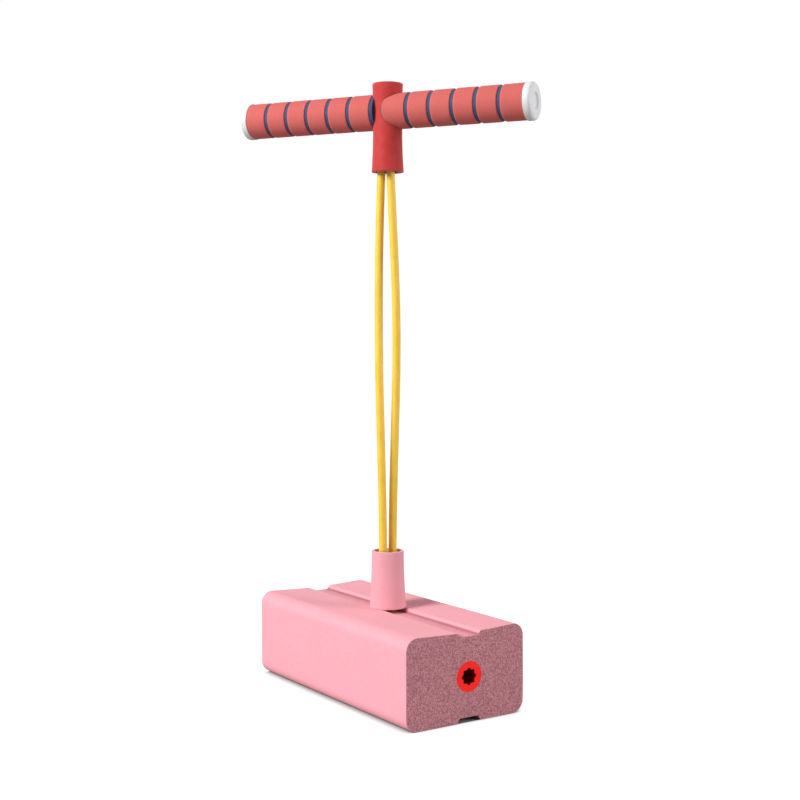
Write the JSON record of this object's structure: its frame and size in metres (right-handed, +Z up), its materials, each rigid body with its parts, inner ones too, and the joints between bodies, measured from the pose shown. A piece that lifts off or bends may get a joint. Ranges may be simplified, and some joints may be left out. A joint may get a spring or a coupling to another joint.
{
  "type": "foam pogo jumper",
  "caption": "Child's pogo jumper: a foam block to stand on, joined by a loop of elastic cord to a cross handle with foam grips.",
  "frame": {"origin": "on the ground, on the stem's axis, where the middle of the object's box meets the ground", "axes": "+X along the foam block, +Y across it, +Z up along the stem"},
  "size_m": [0.2629, 0.1756, 0.557],
  "materials": {
    "pink_foam": "matte",
    "pink_collar": "matte",
    "red_tube": "satin",
    "red_sleeve": "satin",
    "yellow_cord": "satin",
    "coral_foam": "matte",
    "blue_foam": "matte",
    "white_cap": "satin",
    "handle_tube_plastic": "satin",
    "joiner_plastic": "satin",
    "bulb_plastic": "satin",
    "reed_plastic": "gloss"
  },
  "bodies": {
    "base": {"base_foam": "pink_foam", "anchor_tube": "red_tube", "base_collar": "pink_collar", "squeaker_bulb": "bulb_plastic", "squeaker_reed": "reed_plastic", "squeaker_plug": "pink_foam", "lower_loop": "yellow_cord", "cord_joiner": "joiner_plastic"},
    "lower_stem": {"near_strand": "yellow_cord"},
    "upper_stem": {"far_strand": "yellow_cord"},
    "cord_top": {"upper_loop": "yellow_cord"},
    "handle": {"handle_sleeve": "red_sleeve", "handle_tube": "handle_tube_plastic", "left_grip_core": "blue_foam", "right_grip_core": "blue_foam", "left_grip_rings": "coral_foam", "right_grip_rings": "coral_foam", "left_end_cap": "white_cap", "right_end_cap": "white_cap"}
  },
  "joints": [
    {"name": "lean_fore_aft", "type": "hinge", "parent": "base", "child": "lower_stem", "pos_m": [0, 0, 0.148], "axis": [1, 0, 0], "range_deg": [-25, 25], "stiffness_Nm_per_rad": 3},
    {"name": "lean_sideways", "type": "hinge", "parent": "lower_stem", "child": "upper_stem", "pos_m": [0, 0, 0.178], "axis": [0, 1, 0], "range_deg": [-25, 25], "stiffness_Nm_per_rad": 3},
    {"name": "cord_stretch", "type": "slide", "parent": "upper_stem", "child": "cord_top", "axis": [0, 0, 1], "range_m": [0, 0.25], "stiffness_N_per_m": 350, "deforming": ["near_strand", "far_strand"]},
    {"name": "handle_twist", "type": "hinge", "parent": "cord_top", "child": "handle", "pos_m": [0, 0, 0.477], "axis": [0, 0, 1], "range_deg": [-121, 59], "stiffness_Nm_per_rad": 0.06, "deforming": ["upper_loop"]}
  ]
}
